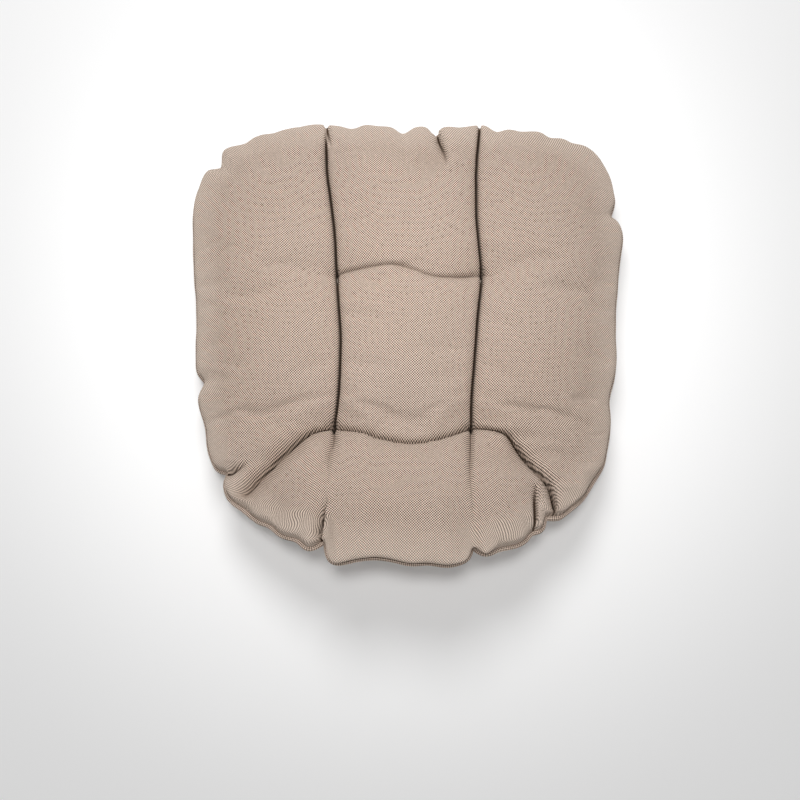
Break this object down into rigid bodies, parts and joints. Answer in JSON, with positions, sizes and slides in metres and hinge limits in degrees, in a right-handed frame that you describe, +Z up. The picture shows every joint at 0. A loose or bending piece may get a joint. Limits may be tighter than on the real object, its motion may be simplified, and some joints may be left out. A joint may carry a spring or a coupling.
{
  "type": "tufted chair seat pad",
  "caption": "Soft piped seat pad with rounded corners, pulled in by thread tufts, its back row bent up to lean on a chair's backrest.",
  "frame": {"origin": "on the surface the pad lies on, under the middle of the whole pad's outline", "axes": "+Z up, -Y towards the front of the seat, +Y towards the backrest, +X towards the sitter's left"},
  "size_m": [0.5304, 0.5452, 0.1314],
  "materials": {
    "canvas": "matt two-tone plain weave",
    "fibre": "loose white polyester fibre",
    "cord": "soft braided filler cord",
    "thread": "bonded polyester sewing thread"
  },
  "bodies": {
    "root": {"top_panel": "canvas", "bottom_panel": "canvas", "piping_sleeve": "canvas", "fibre_fill": "fibre", "piping_cord": "cord", "seam_thread": "thread", "closing_stitch": "thread", "tuft_thread_front_left": "thread", "tuft_thread_front_right": "thread", "tuft_thread_rear_left": "thread", "tuft_thread_rear_right": "thread"}
  },
  "joints": []
}
